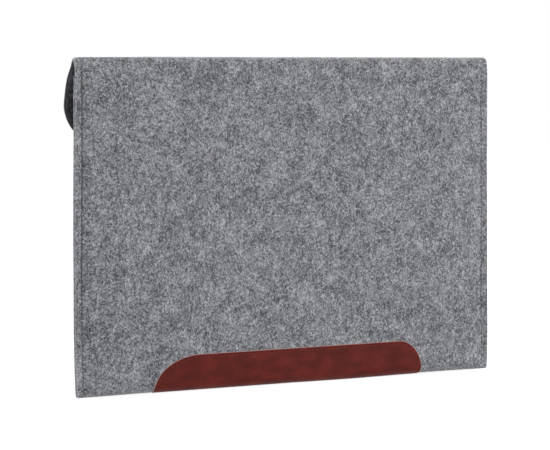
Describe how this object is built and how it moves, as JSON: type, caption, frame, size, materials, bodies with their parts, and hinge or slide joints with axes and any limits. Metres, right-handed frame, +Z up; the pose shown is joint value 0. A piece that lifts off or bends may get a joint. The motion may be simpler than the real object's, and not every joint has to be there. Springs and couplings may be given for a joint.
{
  "type": "laptop sleeve",
  "caption": "Felt envelope sleeve for a thin laptop, lined, with leather trims, sewn sides and a fold-over flap closed by magnetic snaps.",
  "frame": {"origin": "middle of the sleeve's outline, on the surface that it stands on", "axes": "+X across the width, -Y out of the plain back, +Y out of the front with the flap, +Z up towards the fold"},
  "size_m": [0.35, 0.0362, 0.25],
  "materials": {
    "felt": "heathered grey wool felt, fuzzy",
    "lining": "near-black brushed lining",
    "leather": "smooth red-brown leather, satin",
    "felt_thread": "dark grey sewing thread",
    "leather_thread": "red-brown sewing thread",
    "snap_metal": "nickel plate, dark",
    "magnet": "dull grey ferrite"
  },
  "bodies": {
    "body": {"felt_body": "felt", "lining_body": "lining", "base_trim": "leather", "seam_thread_left_back": "felt_thread", "seam_thread_left_front": "felt_thread", "seam_thread_right_back": "felt_thread", "seam_thread_right_front": "felt_thread", "base_trim_thread_back": "leather_thread", "base_trim_thread_front": "leather_thread", "snap_cap_left": "snap_metal", "snap_cap_right": "snap_metal", "snap_magnet_left": "magnet", "snap_magnet_right": "magnet", "snap_base_left": "snap_metal", "snap_base_right": "snap_metal", "snap_panel_washer_left": "snap_metal", "snap_panel_washer_right": "snap_metal"},
    "top_fold": {"felt_top_fold": "felt", "lining_top_fold": "lining"},
    "flap": {"felt_flap": "felt", "lining_flap": "lining", "flap_trim": "leather", "flap_trim_thread": "leather_thread", "snap_stud_left": "snap_metal", "snap_stud_right": "snap_metal", "snap_flap_washer_left": "snap_metal", "snap_flap_washer_right": "snap_metal"}
  },
  "joints": [
    {"name": "back_fold", "type": "hinge", "parent": "body", "child": "top_fold", "pos_m": [0, -0.00965, 0.24394], "axis": [1, 0, 0], "range_deg": [0, 80]},
    {"name": "flap_fold", "type": "hinge", "parent": "top_fold", "child": "flap", "pos_m": [0, 0.00925, 0.23775], "axis": [1, 0, 0], "range_deg": [0, 95]}
  ]
}
